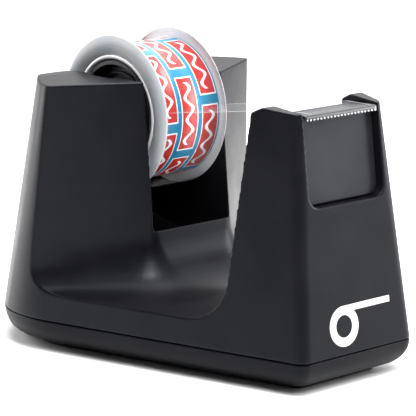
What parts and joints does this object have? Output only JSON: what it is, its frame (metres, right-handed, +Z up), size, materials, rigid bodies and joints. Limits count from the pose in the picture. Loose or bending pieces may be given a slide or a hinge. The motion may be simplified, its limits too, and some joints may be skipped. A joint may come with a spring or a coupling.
{
  "type": "desk tape dispenser",
  "caption": "Weighted desk tape dispenser: round-backed body with a roll well, a V-shaped finger valley and a cutter tower with a toothed blade, holding a roll of clear tape.",
  "frame": {"origin": "on the table, under the middle of the body's length and width", "axes": "+X towards the cutter, along the body's length; +Y to the left of someone facing along +X; +Z up"},
  "size_m": [0.1036, 0.0704, 0.0717],
  "materials": {
    "body_plastic": "satin moulded plastic with a fine spark-eroded grain, charcoal black",
    "panel_plastic": "satin moulded plastic, charcoal grey, slightly smoother than the body",
    "hub_plastic": "matte moulded plastic, black",
    "pad_rubber": "soft anti-slip sheet, black",
    "ballast_steel": "raw steel block",
    "screw_steel": "zinc-plated steel",
    "blade_steel": "bright stamped spring steel",
    "core_plastic": "white core, smooth",
    "core_print": "printed sleeve in blue, red and white, a plain geometric pattern",
    "tape_film": "wound clear film, milky at the cut edges"
  },
  "bodies": {
    "stand": {"housing": "body_plastic", "base_pan": "body_plastic", "foot_pad": "pad_rubber", "ballast_rear": "ballast_steel", "ballast_front": "ballast_steel", "base_screw_1": "screw_steel", "base_screw_2": "screw_steel", "base_screw_3": "screw_steel", "base_screw_4": "screw_steel", "carrier_screw_1": "screw_steel", "carrier_screw_2": "screw_steel", "cutter_carrier": "panel_plastic", "cutter_blade": "blade_steel", "tape_tail": "tape_film"},
    "axle": {"axle": "hub_plastic"},
    "roll": {"hub_near": "hub_plastic", "hub_far": "hub_plastic", "core_ring": "core_plastic", "printed_sleeve": "core_print", "tape_winding": "tape_film"}
  },
  "joints": [
    {"name": "axle_lift", "type": "slide", "parent": "stand", "child": "axle", "axis": [0, 0, 1], "range_m": [0, 0.05]},
    {"name": "roll_spin", "type": "hinge", "parent": "axle", "child": "roll", "pos_m": [-0.02, 0, 0.053], "axis": [0, 1, 0], "continuous": true}
  ]
}
